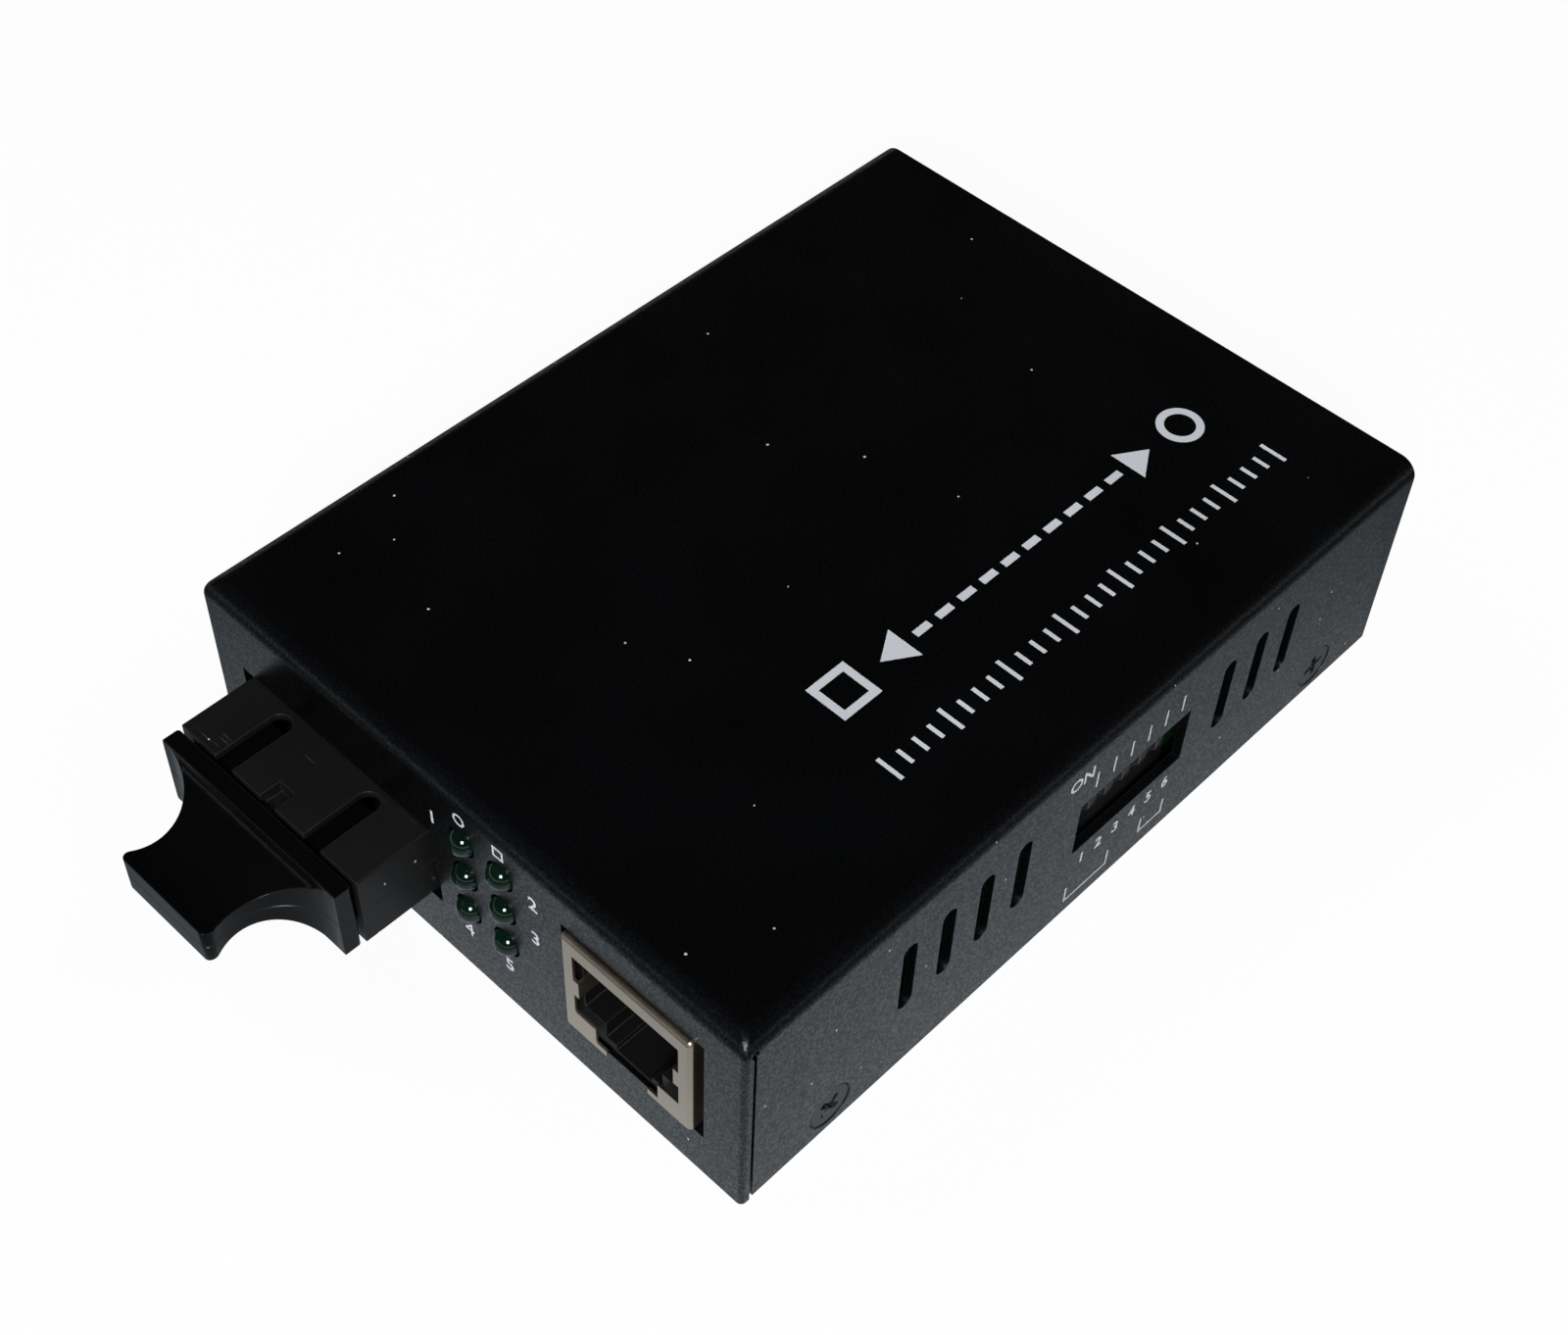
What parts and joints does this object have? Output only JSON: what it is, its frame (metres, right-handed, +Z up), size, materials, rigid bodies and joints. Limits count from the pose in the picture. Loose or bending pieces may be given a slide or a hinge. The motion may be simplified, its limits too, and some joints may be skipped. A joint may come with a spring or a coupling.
{
  "type": "fibre media converter",
  "caption": "Small black steel box that converts twisted-pair network cable to duplex optical fibre, with status lamps, a slide switch and a capped fibre port.",
  "frame": {"origin": "middle of the flat underside of the case", "axes": "+X across the front towards the side with the switch, +Y from the port side to the power side, +Z up"},
  "size_m": [0.071, 0.1141, 0.026],
  "materials": {
    "black_powder_coat": "fine powder coat",
    "tray_powder_coat": "fine powder coat",
    "black_steel": "black oxide",
    "zinc_steel": "zinc plated",
    "standoff_brass": "turned",
    "circuit_board": "solder mask",
    "black_shell": "moulded",
    "latch_plastic": "moulded",
    "zirconia": "ground",
    "plug_plastic": "satin, moulded",
    "nickel_shield": "nickel plated",
    "jack_plastic": "moulded",
    "gold_wire": "gold plated",
    "tinned_brass": "tin plated",
    "lamp_green": "clear tinted resin",
    "switch_black": "moulded",
    "slider_plastic": "moulded",
    "chip_package": "moulded",
    "capacitor_can": "drawn",
    "chip_ceramic": "fired"
  },
  "bodies": {
    "converter": {"base_tray": "tray_powder_coat", "board_screws": "zinc_steel", "board_standoffs": "standoff_brass", "capacitor_leads": "tinned_brass", "case_screws": "black_steel", "converter_chip": "chip_package", "converter_chip_leads": "tinned_brass", "crystal_can": "zinc_steel", "electrolytic_capacitors": "capacitor_can", "ferrule_sleeves": "zirconia", "isolation_transformer": "chip_package", "lamp_1": "lamp_green", "lamp_2": "lamp_green", "lamp_3": "lamp_green", "lamp_4": "lamp_green", "lamp_5": "lamp_green", "lamp_6": "lamp_green", "lamp_holder": "jack_plastic", "lamp_leads": "tinned_brass", "main_board": "circuit_board", "optical_cans": "zinc_steel", "power_jack_body": "jack_plastic", "power_jack_pin": "tinned_brass", "power_jack_spring": "tinned_brass", "receptacle_latches": "latch_plastic", "receptacle_lower_shell": "black_shell", "receptacle_upper_shell": "black_shell", "regulator_leads": "tinned_brass", "rj45_contacts": "gold_wire", "rj45_insert": "jack_plastic", "rj45_shield": "nickel_shield", "small_chips": "chip_ceramic", "switch_body": "switch_black", "switch_pins": "tinned_brass", "top_cover": "black_powder_coat", "transceiver_board": "circuit_board", "transceiver_chips": "chip_package", "transceiver_pins": "tinned_brass", "transformer_leads": "tinned_brass", "voltage_regulator": "chip_package"},
    "plug": {"dust_plug": "plug_plastic"},
    "slider_1": {"switch_slider_1": "slider_plastic"},
    "slider_2": {"switch_slider_2": "slider_plastic"},
    "slider_3": {"switch_slider_3": "slider_plastic"},
    "slider_4": {"switch_slider_4": "slider_plastic"},
    "slider_5": {"switch_slider_5": "slider_plastic"},
    "slider_6": {"switch_slider_6": "slider_plastic"}
  },
  "joints": [
    {"name": "dust_plug_pull", "type": "slide", "parent": "converter", "child": "plug", "axis": [0, -1, 0], "range_m": [0, 0.03]},
    {"name": "switch_way_1", "type": "slide", "parent": "converter", "child": "slider_1", "axis": [0, 0, 1], "range_m": [0, 0.0019]},
    {"name": "switch_way_2", "type": "slide", "parent": "converter", "child": "slider_2", "axis": [0, 0, 1], "range_m": [0, 0.0019]},
    {"name": "switch_way_3", "type": "slide", "parent": "converter", "child": "slider_3", "axis": [0, 0, 1], "range_m": [0, 0.0019]},
    {"name": "switch_way_4", "type": "slide", "parent": "converter", "child": "slider_4", "axis": [0, 0, 1], "range_m": [0, 0.0019]},
    {"name": "switch_way_5", "type": "slide", "parent": "converter", "child": "slider_5", "axis": [0, 0, 1], "range_m": [0, 0.0019]},
    {"name": "switch_way_6", "type": "slide", "parent": "converter", "child": "slider_6", "axis": [0, 0, 1], "range_m": [0, 0.0019]}
  ]
}
